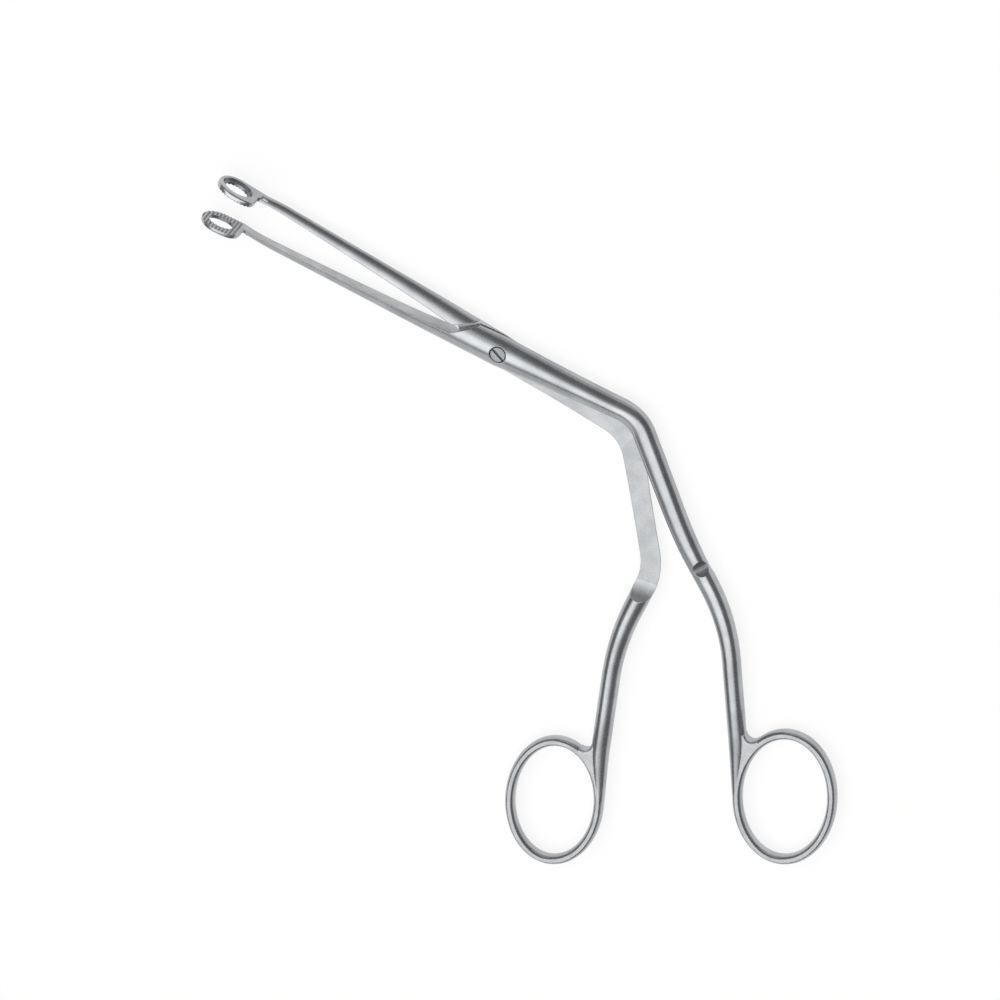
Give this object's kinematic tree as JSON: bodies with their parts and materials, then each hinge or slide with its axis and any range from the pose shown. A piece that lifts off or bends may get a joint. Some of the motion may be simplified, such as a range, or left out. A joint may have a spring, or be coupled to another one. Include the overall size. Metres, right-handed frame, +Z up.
{
  "type": "magill forceps",
  "caption": "Angled scissor-type airway forceps: two crossing steel arms on one slotted screw, with serrated open loops at the jaws and oval finger rings.",
  "frame": {"origin": "centre of the footprint of the forceps lying flat, on the surface it lies on", "axes": "+Z up, the screw head's side; +Y from the finger rings towards the jaws; +X to the right, seen from above"},
  "size_m": [0.186, 0.2232, 0.0122],
  "materials": {
    "arm_steel": "satin flats with polished rounds",
    "screw_steel": "polished"
  },
  "bodies": {
    "rear_half": {"rear_arm": "arm_steel", "pivot_screw": "screw_steel"},
    "front_half": {"front_arm": "arm_steel"}
  },
  "joints": [
    {"name": "jaw_pivot", "type": "hinge", "parent": "rear_half", "child": "front_half", "pos_m": [-0.00328, 0.05902, 0.00345], "axis": [0, 0, 1], "range_deg": [-6.9, 21]}
  ]
}
